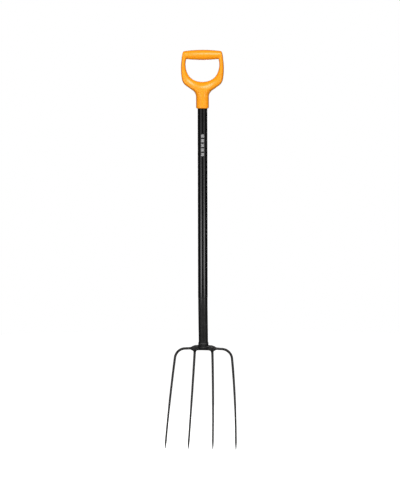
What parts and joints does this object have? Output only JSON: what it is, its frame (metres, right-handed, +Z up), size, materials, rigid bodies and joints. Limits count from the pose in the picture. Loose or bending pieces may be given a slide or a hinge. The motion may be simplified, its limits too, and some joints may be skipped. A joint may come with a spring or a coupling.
{
  "type": "digging fork",
  "caption": "Long-handled fork with slender curved round tines on a forged crown, a black bent tubular shaft and an orange D-shaped handle.",
  "frame": {"origin": "on the shaft's centre line at the underside of the grip bar, where a wall hook carries the fork", "axes": "+Z up along the shaft with the tine tips pointing down, -Y the front side the tines curve towards, +X the fork's own width"},
  "size_m": [0.2242, 0.1037, 1.2281],
  "materials": {
    "orange_plastic": "smooth satin-gloss moulded orange plastic",
    "screw_steel": "zinc plated",
    "satin_black_steel": "satin black powder coat",
    "gloss_black_plastic": "glossy black plastic skin",
    "tine_steel": "satin black coated steel rod"
  },
  "bodies": {
    "root": {"d_handle": "orange_plastic", "handle_screw": "screw_steel", "shaft_tube": "satin_black_steel", "shaft_sleeve": "gloss_black_plastic", "weld_collar": "satin_black_steel", "crown": "satin_black_steel", "tine_outer_left": "tine_steel", "tine_inner_left": "tine_steel", "tine_inner_right": "tine_steel", "tine_outer_right": "tine_steel", "tine_welds": "satin_black_steel"}
  },
  "joints": []
}
